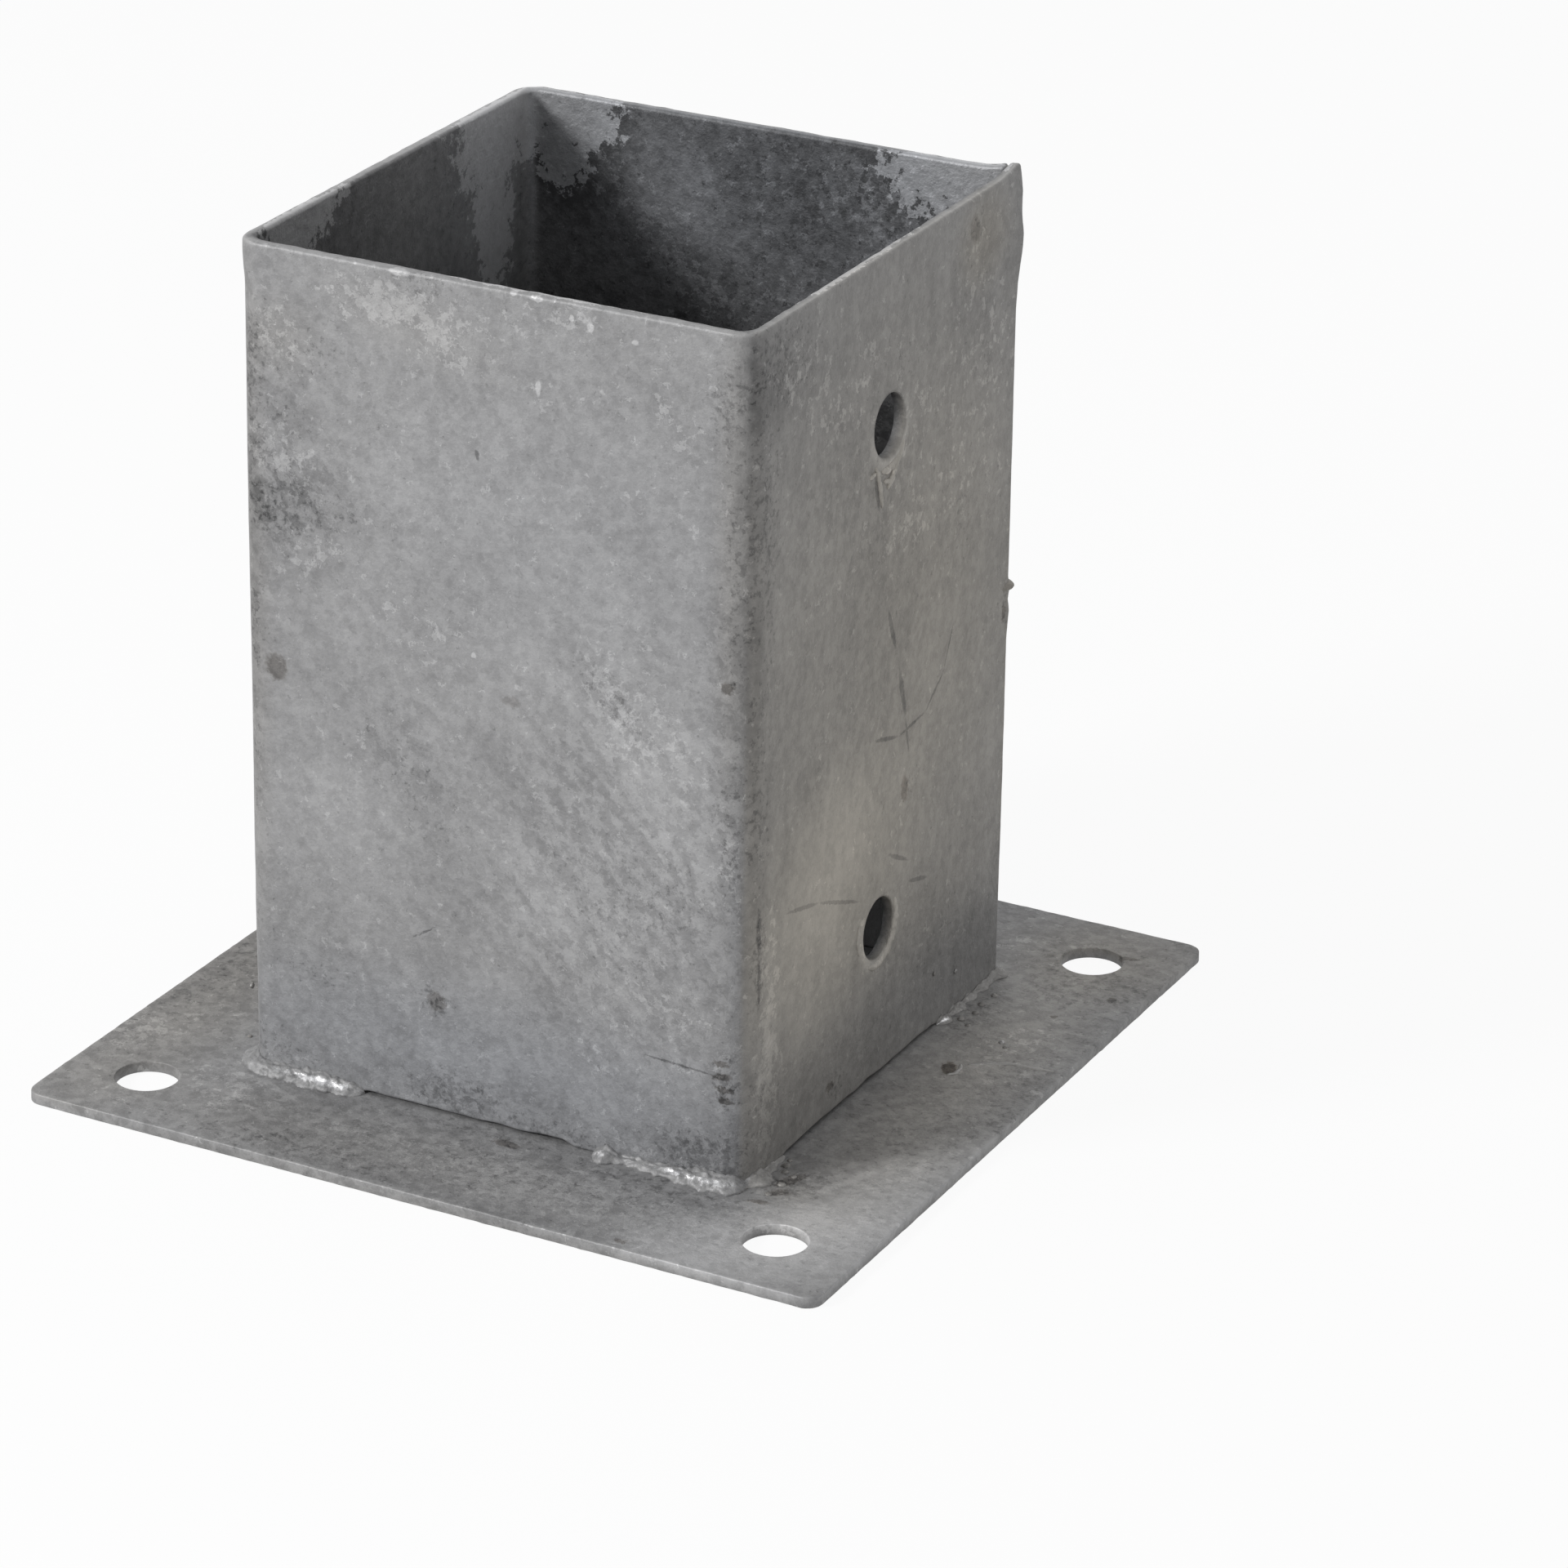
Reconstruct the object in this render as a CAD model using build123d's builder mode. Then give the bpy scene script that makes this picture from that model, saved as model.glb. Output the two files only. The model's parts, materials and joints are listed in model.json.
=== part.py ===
from build123d import *
import os

# Galvanised post base for a square timber post.
# A sleeve folded from one sheet stands on a flat base plate. Its open corner is closed by two
# stitch welds, and a fillet weld round each of its four corners holds it to the plate.
# The origin is the centre of the plate's underside. The post goes in along -Z, and the bolts that
# hold it pass along X. Lengths are in millimetres.

# Timber post
post_side = 90.0
post_clearance = 0.5

# Sleeve
sleeve_sheet = 2.0
sleeve_height = 148.0
bend_inner_radius = 2.5
seam_gap = 0.4
sleeve_arris = 0.4

# Bolt holes through the left and right walls: the upper ones are set from the rim, the lower ones
# from the plate
bolt_hole_diameter = 11.0
bolt_hole_from_rim = 30.0
bolt_hole_from_plate = 28.0
bolt_hole_arris = 0.3

# Base plate
plate_side = 150.0
plate_thickness = 2.0
plate_corner_radius = 3.0
plate_arris = 0.4

# Anchor holes in the base plate
anchor_hole_diameter = 11.0
anchor_hole_from_edge = 15.0

# Foot welds: reach over the plate, height up the wall, and how far the face bulges
foot_weld_reach = 3.8
foot_weld_rise = 2.4
foot_weld_bulge = 0.5

# Foot welds: how far each runs from its corner along X, and along Y
front_left_run_x = 23.0
front_left_run_y = 10.0
front_right_run_x = 28.0
front_right_run_y = 14.5
back_right_run_x = 10.0
back_right_run_y = 24.0
back_left_run_x = 24.0
back_left_run_y = 10.0

# Seam welds: radius, and how far the middle line lies inside the sheared corner
seam_weld_radius = 1.7
seam_weld_inset_x = 1.2
seam_weld_inset_y = 0.3

# Seam welds: the top one ends just under the rim, the middle one is centred under mid-height
top_weld_length = 18.5
top_weld_from_rim = 0.5
middle_weld_length = 11.0
middle_weld_drop = 4.0

# Sizes that follow
sleeve_bore = post_side + 2 * post_clearance
sleeve_side = sleeve_bore + 2 * sleeve_sheet
bore_half = sleeve_bore / 2
sleeve_half = sleeve_side / 2
wall_middle = bore_half + sleeve_sheet / 2
bend_outer_radius = bend_inner_radius + sleeve_sheet
sleeve_top = plate_thickness + sleeve_height
sleeve_mid_height = plate_thickness + sleeve_height / 2
anchor_hole_spacing = plate_side - 2 * anchor_hole_from_edge
upper_bolt_hole = sleeve_top - bolt_hole_from_rim
lower_bolt_hole = plate_thickness + bolt_hole_from_plate

os.makedirs("parts", exist_ok=True)


# Base plate: sheared square with its corners knocked off and four anchor holes
with BuildPart() as base_plate:
    with BuildSketch():
        Rectangle(plate_side, plate_side)
        fillet(vertices(), plate_corner_radius)
        with GridLocations(anchor_hole_spacing, anchor_hole_spacing, 2, 2):
            Circle(anchor_hole_diameter / 2, mode=Mode.SUBTRACT)
    extrude(amount=plate_thickness)
    chamfer(faces().filter_by(Axis.Z).edges(), plate_arris)

base_plate.part.label = "base_plate"
export_step(base_plate.part, "parts/base_plate.step")


# Sleeve: the sheet's middle line starts at the sheared end of the right wall, turns three bends
# and stops a seam gap short of the right wall, which covers the edge of the back wall
with BuildPart() as post_sleeve:
    with BuildSketch(Plane.XY.offset(plate_thickness)):
        with BuildLine():
            FilletPolyline(
                (wall_middle, sleeve_half),
                (wall_middle, -wall_middle),
                (-wall_middle, -wall_middle),
                (-wall_middle, wall_middle),
                (bore_half - seam_gap, wall_middle),
                radius=bend_inner_radius + sleeve_sheet / 2,
            )
        trace(line_width=sleeve_sheet)
    extrude(amount=sleeve_height)
    chamfer(faces().filter_by(Axis.Z).edges(), sleeve_arris)

    # Bolt holes, bored from the right wall through both walls
    with Locations(Plane.YZ.offset(sleeve_half)):
        with Locations((0, upper_bolt_hole), (0, lower_bolt_hole)):
            Hole(bolt_hole_diameter / 2)
    bolt_hole_mouths = edges().filter_by(GeomType.CIRCLE).filter_by(Plane.YZ)
    chamfer(bolt_hole_mouths, bolt_hole_arris)

post_sleeve.part.label = "post_sleeve"
export_step(post_sleeve.part, "parts/post_sleeve.step")


# The sleeve's outer outline, filled: what a foot weld is laid against
with BuildPart() as sleeve_block:
    with BuildSketch(Plane.XY.offset(plate_thickness)) as sleeve_outline:
        Rectangle(sleeve_side, sleeve_side)
        corners = sleeve_outline.vertices().sort_by_distance((sleeve_half, sleeve_half))
        fillet(corners[1:], bend_outer_radius)
    extrude(amount=sleeve_height)


# Section of a foot weld, with the wall at its left and the plate below it
def foot_weld_section(plane):
    with BuildSketch(plane) as section:
        with BuildLine():
            Polyline((foot_weld_reach, 0), (0, 0), (0, foot_weld_rise))
            SagittaArc((foot_weld_reach, 0), (0, foot_weld_rise), -foot_weld_bulge)
        make_face()
    return section.sketch


# Foot welds: the sign of each corner in X and Y, and the runs from it
foot_welds = {
    "foot_weld_front_left": (-1, -1, front_left_run_x, front_left_run_y),
    "foot_weld_front_right": (1, -1, front_right_run_x, front_right_run_y),
    "foot_weld_back_right": (1, 1, back_right_run_x, back_right_run_y),
    "foot_weld_back_left": (-1, 1, back_left_run_x, back_left_run_y),
}

# Each foot weld is a bead along the foot of both walls and round the corner between them. Its
# ends are the same section, spun
for name, (sign_x, sign_y, run_x, run_y) in foot_welds.items():
    corner_x = sign_x * sleeve_half
    corner_y = sign_y * sleeve_half
    at_seam = sign_x > 0 and sign_y > 0
    with BuildLine(Plane.XY.offset(plate_thickness)) as foot_line:
        FilletPolyline(
            (corner_x - sign_x * (run_x - foot_weld_reach), corner_y),
            (corner_x, corner_y),
            (corner_x, corner_y - sign_y * (run_y - foot_weld_reach)),
            radius=0 if at_seam else bend_outer_radius,
        )
    path = foot_line.wire()
    square_to_path = Plane(path @ 0, x_dir=(0, sign_y, 0), z_dir=(sign_y, 0, 0))
    with BuildPart() as foot_weld:
        sweep(foot_weld_section(square_to_path), path=path, transition=Transition.ROUND)
        for end in (path @ 0, path @ 1):
            upright = Plane(end, x_dir=(1, 0, 0), z_dir=(0, -1, 0))
            revolve(foot_weld_section(upright), axis=Axis(end, (0, 0, 1)))
        add(sleeve_block.part, mode=Mode.SUBTRACT)
    foot_weld.part.label = name
    export_step(foot_weld.part, f"parts/{name}.step")


# Seam welds: the height of each one's middle, and its length
seam_welds = {
    "seam_weld_top": (sleeve_top - top_weld_from_rim - top_weld_length / 2, top_weld_length),
    "seam_weld_middle": (sleeve_mid_height - middle_weld_drop, middle_weld_length),
}

# Each seam weld is a round-ended bead up the sheared corner, which fills the gap and rounds the
# corner off
seam_x = sleeve_half - seam_weld_inset_x
seam_y = sleeve_half - seam_weld_inset_y
for name, (height, length) in seam_welds.items():
    middle = (seam_x, seam_y, height)
    with BuildPart() as seam_weld:
        with BuildSketch(Plane(middle, x_dir=(1, 0, 0), z_dir=(0, -1, 0))):
            SlotOverall(length, 2 * seam_weld_radius, rotation=90)
            Rectangle(seam_weld_radius, length, align=(Align.MIN, Align.CENTER), mode=Mode.INTERSECT)
        revolve(axis=Axis(middle, (0, 0, 1)))
        add(post_sleeve.part, mode=Mode.SUBTRACT)
    seam_weld.part.label = name
    export_step(seam_weld.part, f"parts/{name}.step")
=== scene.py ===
import functools
import json
import math

import bmesh
import bpy
import numpy as np
from mathutils import Matrix, Vector, noise


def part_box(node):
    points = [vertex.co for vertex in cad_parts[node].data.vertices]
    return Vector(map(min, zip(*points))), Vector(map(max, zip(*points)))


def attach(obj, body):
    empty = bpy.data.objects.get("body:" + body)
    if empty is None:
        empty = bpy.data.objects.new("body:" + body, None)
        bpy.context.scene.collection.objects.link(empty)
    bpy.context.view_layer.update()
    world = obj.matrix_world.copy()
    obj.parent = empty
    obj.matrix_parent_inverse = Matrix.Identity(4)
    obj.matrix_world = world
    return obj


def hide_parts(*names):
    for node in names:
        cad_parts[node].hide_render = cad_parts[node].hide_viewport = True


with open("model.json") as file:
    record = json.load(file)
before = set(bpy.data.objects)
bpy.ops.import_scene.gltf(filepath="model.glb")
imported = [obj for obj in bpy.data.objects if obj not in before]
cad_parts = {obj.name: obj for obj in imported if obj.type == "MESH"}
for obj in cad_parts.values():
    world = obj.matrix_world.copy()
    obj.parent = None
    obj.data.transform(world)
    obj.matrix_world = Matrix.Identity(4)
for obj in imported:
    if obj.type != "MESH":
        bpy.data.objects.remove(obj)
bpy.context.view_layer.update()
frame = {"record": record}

# A galvanised post base: a folded square sleeve welded to a flat plate. Sizes are in metres and
# come from the frame, apart from those named here. Marks on the zinc are placed in millimetres.
MM = 0.001
SHEET = 2.0 * MM
BEND_RADIUS = 4.5 * MM
SEAM_GAP = 0.4 * MM
SEAM_BEAD_RADIUS = 1.7 * MM

plate_low, plate_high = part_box("base_plate")
sleeve_low, sleeve_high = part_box("post_sleeve")
mounts = {mount["name"]: mount for mount in frame["record"]["mounts"]}

half = sleeve_high.x
foot_z = sleeve_low.z
rim_z = sleeve_high.z
plate_half = plate_high.x
anchor_half = mounts["plate_bolts"]["dims"]["spacing_x_mm"] * MM / 2
anchor_radius = mounts["plate_bolts"]["dims"]["hole_r_mm"] * MM
bolt_radius = mounts["post_bolts_right"]["dims"]["hole_r_mm"] * MM
bolt_middle = mounts["post_bolts_right"]["pos_m"][2]
bolt_offset = mounts["post_bolts_right"]["dims"]["spacing_y_mm"] * MM / 2
bolt_heights = (bolt_middle - bolt_offset, bolt_middle + bolt_offset)

# Each face: the axis across it, the place of the face on it in millimetres, and the axes u and v
# along it. Tables of marks and patches are kept by face
FACES = {"top": (2, plate_high.z / MM, 0, 1), "underside": (2, plate_low.z / MM, 0, 1)}
for face, axis, side in (("front", 1, -1), ("right", 0, 1), ("back", 1, 1), ("left", 0, -1)):
    FACES[face] = (axis, side * half / MM, 1 - axis, 2)
    FACES[face + " inside"] = (axis, side * (half - SHEET) / MM, 1 - axis, 2)


# Small helpers

def by_face(table):
    """The rows of a table that is kept by face, each with its face first."""
    return [(face, *row) for face, rows in (table or {}).items() for row in rows]


def on_face(face, u, v, across=None):
    """A vector with u and v along a face and, across it, the face's place or the number given."""
    axis, place, u_axis, v_axis = FACES[face]
    vector = Vector((0, 0, 0))
    vector[u_axis], vector[v_axis] = u, v
    vector[axis] = place if across is None else across
    return vector


def smooth(low, high, value):
    """0 below low, 1 above high, and a smooth step between them."""
    t = min(max((value - low) / (high - low), 0.0), 1.0)
    return t * t * (3 - 2 * t)


def stations(start, *runs):
    """Stations from start through each (end, pitch) run, evenly spaced in each."""
    lines = [start]
    for end, pitch in runs:
        begin = lines[-1]
        count = max(1, round((end - begin) / pitch))
        lines += [begin + (end - begin) * i / count for i in range(1, count + 1)]
    return lines


def level(profile, share):
    """Value of a profile, a row of (share, value) points, at a share of its length."""
    shares, values = zip(*profile)
    return float(np.interp(share, shares, values))


def make_object(name, points, faces):
    mesh = bpy.data.meshes.new(name)
    mesh.from_pydata([tuple(point) for point in points], [], faces)
    mesh.validate()
    mesh.update()
    piece = bpy.data.objects.new(name, mesh)
    bpy.context.scene.collection.objects.link(piece)
    return piece


def apply_modifiers(piece):
    """Replaces the piece's mesh with what its modifiers make of it."""
    bpy.context.view_layer.update()
    evaluated = piece.evaluated_get(bpy.context.evaluated_depsgraph_get())
    piece.data = bpy.data.meshes.new_from_object(evaluated)
    piece.modifiers.clear()


def displace(piece, amount):
    """Moves each point along its normal by amount(point), in metres."""
    mesh = piece.data
    normals = [Vector(entry.vector) for entry in mesh.vertex_normals]
    for vertex, normal in zip(mesh.vertices, normals):
        vertex.co += normal * amount(vertex.co)
    mesh.update()


def points_of(piece):
    """The piece's points, in millimetres, as an array of rows."""
    flat = np.empty(3 * len(piece.data.vertices))
    piece.data.vertices.foreach_get("co", flat)
    return flat.reshape(-1, 3) / MM


def store(piece, layer, values):
    """Keeps a number for each point, which the materials read by the layer's name."""
    attribute = piece.data.attributes.new(layer, "FLOAT", "POINT")
    attribute.data.foreach_set("value", np.asarray(values, dtype=np.float32))


# Sheets with holes

HOLE_MARGIN = 2.5 * MM
HOLE_RINGS = (0.3, 0.56, 0.78, 0.92, 1.0)
HOLE_STEPS = 6
FOLD_ANGLE = math.radians(50)


def past_hole(middle, radius, pitch):
    """Runs of stations up to the square round a hole, and across it."""
    reach = radius + HOLE_MARGIN
    return (middle - reach, pitch), (middle + reach, reach / HOLE_STEPS)


def holed_grid(across, up, holes):
    """Flat grid with round holes: (points, faces). Each hole is (u, v, radius), and the grid has lines
    at radius + HOLE_MARGIN on all four sides of it."""
    points = []
    faces = []
    index = {}

    def point_at(i, j):
        if (i, j) not in index:
            index[i, j] = len(points)
            points.append((across[i], up[j]))
        return index[i, j]

    def nearest(lines, value):
        return min(range(len(lines)), key=lambda k: abs(lines[k] - value))

    patches = []
    for u, v, radius in holes:
        reach = radius + HOLE_MARGIN
        left, right = nearest(across, u - reach), nearest(across, u + reach)
        low, high = nearest(up, v - reach), nearest(up, v + reach)
        patches.append((left, right, low, high, u, v, radius))

    for i in range(len(across) - 1):
        for j in range(len(up) - 1):
            if any(l <= i < r and b <= j < t for l, r, b, t, *_ in patches):
                continue
            faces.append((point_at(i, j), point_at(i + 1, j), point_at(i + 1, j + 1), point_at(i, j + 1)))

    for left, right, low, high, u, v, radius in patches:
        square = [(i, low) for i in range(left, right)]
        square += [(right, j) for j in range(low, high)]
        square += [(i, high) for i in range(right, left, -1)]
        square += [(left, j) for j in range(high, low, -1)]
        outer = [point_at(i, j) for i, j in square]
        ring = outer
        for share in HOLE_RINGS:
            inner = []
            for corner in outer:
                x, y = points[corner]
                angle = math.atan2(y - v, x - u)
                round_x = u + radius * math.cos(angle)
                round_y = v + radius * math.sin(angle)
                inner.append(len(points))
                points.append((x + (round_x - x) * share, y + (round_y - y) * share))
            for k in range(len(ring)):
                after = (k + 1) % len(ring)
                faces.append((ring[k], ring[after], inner[after], inner[k]))
            ring = inner
    return points, faces


def thicken(piece, thickness, edge_radius, punched_radius, punched):
    """Gives a sheet its thickness behind its face, and rounds its sheared edges. punched(point) says
    where the edges are punched, which are sharper."""
    solidify = piece.modifiers.new("thickness", "SOLIDIFY")
    solidify.thickness = thickness
    solidify.offset = -1.0
    solidify.use_even_offset = True
    apply_modifiers(piece)
    solid = bmesh.new()
    solid.from_mesh(piece.data)
    weight = solid.edges.layers.float.new("bevel_weight_edge")
    for edge in solid.edges:
        if edge.calc_face_angle(0.0) > FOLD_ANGLE:
            edge[weight] = punched_radius / edge_radius if punched(edge.verts[0].co) else 1.0
    solid.to_mesh(piece.data)
    solid.free()
    bevel = piece.modifiers.new("edges", "BEVEL")
    bevel.limit_method = "WEIGHT"
    bevel.width = edge_radius
    bevel.segments = 3
    apply_modifiers(piece)


# Sleeve

RIGHT_RUN = 2 * half - BEND_RADIUS
MIDDLE_RUN = 2 * half - 2 * BEND_RADIUS
LAST_RUN = 2 * half - BEND_RADIUS - SHEET - SEAM_GAP
BEND_LENGTH = BEND_RADIUS * math.pi / 2
WALL_PITCH = 1.05 * MM
HIDDEN_PITCH = 1.9 * MM
SEAM_END, SEAM_PITCH = 6 * MM, 0.9 * MM
RIM_END, RIM_PITCH = 3 * MM, 0.75 * MM
SLEEVE_EDGE = 0.93 * MM
BOLT_HOLE_EDGE = 0.35 * MM

# Where the sleeve's foot stands off the plate between its welds, in millimetres: along X on the
# front and the back, and along Y on the right and the left
FOOT_GAP = 0.55 * MM
FOOT_GAPS_X = (-26.0, 16.0)
FOOT_GAPS_Y = (-34.0, 24.0)

# Local swellings of the zinc: place in millimetres, radius and height
SLEEVE_SWELLINGS = (
    ((-46.8, -46.8, 148.4), 2.6, 0.4),
    ((-46.4, -46.4, 145.0), 2.0, 0.15),
    ((-20.0, -47.5, 149.6), 3.0, 0.12),
    ((-17.0, -47.5, 149.2), 1.6, 0.18),
    ((4.2, -47.5, 149.6), 1.2, -0.22),
    ((9.0, -47.5, 149.4), 2.2, 0.13),
    ((30.0, -47.5, 149.6), 2.4, 0.1),
)

# How far the weld metal pushes the sheared corner out: height in millimetres, and amount
SEAM_SWELL = (
    (0, 0), (66, 0), (68, 0.15), (71, 0.35), (73, 0.05), (75, 0.35), (77, 0), (126, 0), (130, 0.2),
    (133, 0.55), (136, 0.95), (139, 1.05), (141, 0.75), (143, 0.6), (146, 0.65), (148, 0.35), (150, 0.0),
)
SEAM_SWELL_SPREAD = 3.0 * MM
SEAM_TIP = 1.15 * MM
SEAM_TIP_SPREAD = 4.2 * MM


def sleeve_station(distance):
    """Point and outward normal on the sleeve's outer face, at a distance round it from the sheared end
    of the right wall."""
    x, y, heading = half, half, -math.pi / 2
    for length in (RIGHT_RUN, MIDDLE_RUN, MIDDLE_RUN, math.inf):
        straight = min(distance, length)
        bend = min(distance - straight, BEND_LENGTH)
        x += straight * math.cos(heading) + BEND_RADIUS * math.sin(heading)
        y += straight * math.sin(heading) - BEND_RADIUS * math.cos(heading)
        heading -= bend / BEND_RADIUS
        x -= BEND_RADIUS * math.sin(heading)
        y += BEND_RADIUS * math.cos(heading)
        distance -= straight + bend
    return Vector((x, y, 0)), Vector((-math.sin(heading), math.cos(heading), 0))


def sheet_wave(point):
    """How far the sheet stands off flat."""
    return 0.16 * MM * noise.noise(point / MM * 0.022 + Vector((3.1, 7.7, 1.3)))


def skin(point):
    """Swell of the zinc coat over the sheet."""
    place = point / MM
    swell = 0.045 * noise.noise(place * 0.16) + 0.02 * noise.noise(place * 0.5 + Vector((9, 4, 2)))
    return swell * MM


def sleeve_skin(point):
    place = point / MM
    amount = skin(point)
    rim = smooth(rim_z - 1.6 * MM, rim_z - 0.4 * MM, point.z)
    amount += rim * MM * 0.12 * noise.noise(Vector((place.x, place.y, 0)) * 0.42)
    for centre, radius, height in SLEEVE_SWELLINGS:
        away = (place - Vector(centre)).length / radius
        if away < 2.5:
            amount += height * MM * math.exp(-away * away)
    for height in bolt_heights:
        if point.x > half - 0.7 * MM:
            away = (math.hypot(point.y, point.z - height) - bolt_radius) / MM
            lip = math.exp(-((away - 0.7) / 0.65) ** 2)
            low_side = smooth(4 * MM, -6 * MM, point.z - height)
            amount += (0.06 + 0.2 * low_side) * lip * MM
    return amount


def in_gap(gap, value):
    low, high = gap
    return smooth(low, low + 2.5, value) * smooth(high, high - 2.5, value)


def shape_sleeve_ends(piece):
    """Lifts the foot off the plate between the welds, and draws the welded corner out and up."""
    seam = Vector((half, half, 0))
    for vertex in piece.data.vertices:
        point = vertex.co
        x, y = point.x / MM, point.y / MM
        on_x_walls = abs(point.y) > half - 3 * MM
        gap = in_gap(FOOT_GAPS_X, x) if on_x_walls else in_gap(FOOT_GAPS_Y, y)
        gap *= 1 + 0.6 * noise.noise(Vector((x, y, 0)) * 0.2)
        point.z += FOOT_GAP * gap * smooth(foot_z + 2.5 * MM, foot_z + 0.8 * MM, point.z)
        to_seam = (Vector((point.x, point.y, 0)) - seam).length
        push = level(SEAM_SWELL, point.z / MM) * MM * math.exp(-(to_seam / SEAM_SWELL_SPREAD) ** 2)
        point.x += 0.6 * push
        point.y += 0.8 * push
        lift = SEAM_TIP * math.exp(-(to_seam / SEAM_TIP_SPREAD) ** 2)
        point.z += lift * smooth(rim_z - 6 * MM, rim_z, point.z)


def make_sleeve():
    front_start = RIGHT_RUN + BEND_LENGTH
    left_start = front_start + MIDDLE_RUN + BEND_LENGTH
    back_start = left_start + MIDDLE_RUN + BEND_LENGTH
    left_hole = left_start + MIDDLE_RUN / 2
    bend_pitch = BEND_LENGTH / 9
    around = stations(
        0.0,
        (SEAM_END, SEAM_PITCH), *past_hole(half, bolt_radius, WALL_PITCH), (RIGHT_RUN, WALL_PITCH),
        (front_start, bend_pitch), (front_start + MIDDLE_RUN, WALL_PITCH),
        (left_start, bend_pitch), *past_hole(left_hole, bolt_radius, HIDDEN_PITCH),
        (left_start + MIDDLE_RUN, HIDDEN_PITCH),
        (back_start, bend_pitch), (back_start + LAST_RUN, HIDDEN_PITCH),
    )
    low, high = (past_hole(height, bolt_radius, WALL_PITCH) for height in bolt_heights)
    up = stations(
        foot_z,
        (foot_z + RIM_END, RIM_PITCH), *low, *high, (rim_z - RIM_END, WALL_PITCH), (rim_z, RIM_PITCH),
    )
    holes = [(along, height, bolt_radius) for along in (half, left_hole) for height in bolt_heights]
    flat, faces = holed_grid(around, up, holes)
    points = []
    for along, height in flat:
        place, outward = sleeve_station(along)
        place.z = height
        points.append(place + outward * sheet_wave(place))
    piece = make_object("sleeve_sheet", points, [face[::-1] for face in faces])

    def punched(point):
        return any(math.hypot(point.y, point.z - height) < bolt_radius + 0.5 * MM for height in bolt_heights)

    thicken(piece, SHEET, SLEEVE_EDGE, BOLT_HOLE_EDGE, punched)
    displace(piece, sleeve_skin)
    shape_sleeve_ends(piece)
    piece.data.update()
    return piece


# Base plate

PLATE_CORNER = 3.0 * MM
PLATE_PITCH = 1.3 * MM
PLATE_EDGE = 0.5 * MM
ANCHOR_HOLE_EDGE = 0.4 * MM


def rounded_corner(x, y):
    """Moves a point of a square plate so that the plate's corners become arcs."""
    straight = plate_half - PLATE_CORNER
    s = (abs(x) - straight) / PLATE_CORNER
    t = (abs(y) - straight) / PLATE_CORNER
    if s <= 0 or t <= 0:
        return x, y
    round_x = straight + PLATE_CORNER * s * math.sqrt(1 - t * t / 2)
    round_y = straight + PLATE_CORNER * t * math.sqrt(1 - s * s / 2)
    return math.copysign(round_x, x), math.copysign(round_y, y)


def plate_skin(point):
    amount = skin(point)
    edge = max(abs(point.x), abs(point.y))
    sheared = smooth(plate_half - 0.8 * MM, plate_half - 0.2 * MM, edge)
    amount += sheared * 0.07 * MM * noise.noise(point / MM * 0.6)
    if point.z < plate_high.z / 2 and edge < plate_half - MM:
        amount = min(amount, 0.0)
    return amount


def make_plate():
    straight = plate_half - PLATE_CORNER
    middles = (-anchor_half, anchor_half)
    first, last = (past_hole(middle, anchor_radius, PLATE_PITCH) for middle in middles)
    lines = stations(
        -plate_half,
        (-straight, PLATE_CORNER / 4), *first, *last, (straight, PLATE_PITCH), (plate_half, PLATE_CORNER / 4),
    )
    holes = [(x, y, anchor_radius) for x in middles for y in middles]
    flat, faces = holed_grid(lines, lines, holes)
    points = [Vector((*rounded_corner(x, y), plate_high.z)) for x, y in flat]
    piece = make_object("plate_sheet", points, faces)
    thicken(
        piece, plate_high.z - plate_low.z, PLATE_EDGE, ANCHOR_HOLE_EDGE,
        lambda point: max(abs(point.x), abs(point.y)) < plate_half - PLATE_CORNER,
    )
    displace(piece, plate_skin)
    return piece


# Weld beads

BEAD_PITCH = 0.3 * MM
BEAD_FULLNESS = 1.25
BEAD_SINK = 0.35 * MM
SECTION_STEPS = 14


def strip_faces(rows, width, start=0):
    """Faces of a tube of rows of points, numbered from start, with its two ends closed."""
    faces = []
    last = start + (rows - 1) * width
    for a in range(start, last, width):
        for k in range(width):
            after = (k + 1) % width
            faces.append((a + k, a + after, a + width + after, a + width + k))
    faces.append(tuple(range(start, start + width))[::-1])
    faces.append(tuple(range(last, last + width)))
    return faces


def foot_line(sign_x, sign_y, end_x, end_y, radius):
    """Points and outward normals along the sleeve's foot, from end_x round the corner to end_y."""
    corner_x, corner_y = sign_x * half, sign_y * half
    bend_x, bend_y = corner_x - sign_x * radius, corner_y - sign_y * radius
    line = []
    for x in stations(0.0, (abs(bend_x - end_x), BEAD_PITCH)):
        line.append((Vector((end_x + sign_x * x, corner_y, foot_z)), Vector((0, sign_y, 0))))
    for turn in stations(0.0, (math.pi / 2, BEAD_PITCH / radius))[1:-1]:
        outward = Vector((sign_x * math.sin(turn), sign_y * math.cos(turn), 0))
        line.append((Vector((bend_x, bend_y, foot_z)) + outward * radius, outward))
    for y in stations(0.0, (abs(bend_y - end_y), BEAD_PITCH)):
        line.append((Vector((corner_x, bend_y - sign_y * y, foot_z)), Vector((sign_x, 0, 0))))
    return line


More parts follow.
